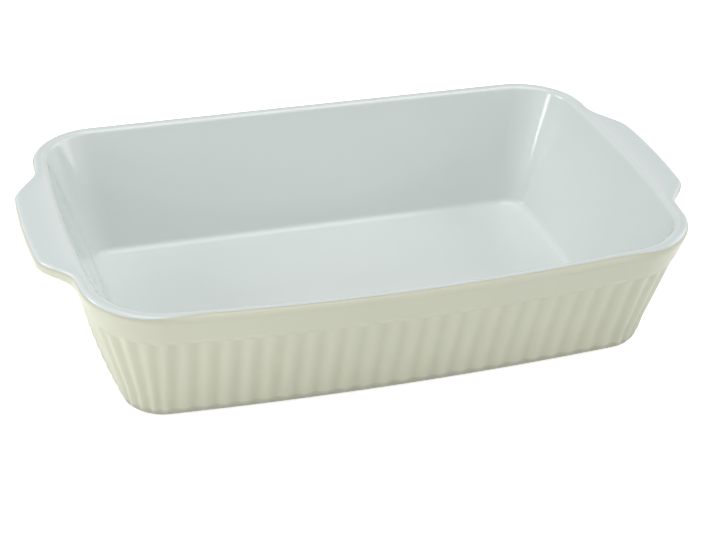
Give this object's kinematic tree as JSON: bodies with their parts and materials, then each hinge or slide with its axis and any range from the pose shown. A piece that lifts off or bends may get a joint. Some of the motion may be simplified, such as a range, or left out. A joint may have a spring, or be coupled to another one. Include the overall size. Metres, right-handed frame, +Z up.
{
  "type": "gratin dish",
  "caption": "Rectangular ribbed stoneware gratin dish with rounded corners, sloping walls and a flat lug handle at each end, white inside and cream outside.",
  "frame": {"origin": "on the table under the centre of the dish, in the plane of its foot", "axes": "+Z up out of the basin, X along the dish's length from lug to lug, Y across its width"},
  "size_m": [0.3216, 0.1924, 0.0665],
  "materials": {
    "bare_stoneware": "matte",
    "cream_glaze": "satin",
    "white_glaze": "gloss"
  },
  "bodies": {
    "root": {"stoneware_body": "bare_stoneware", "outer_glaze": "cream_glaze", "inner_glaze": "white_glaze"}
  },
  "joints": []
}
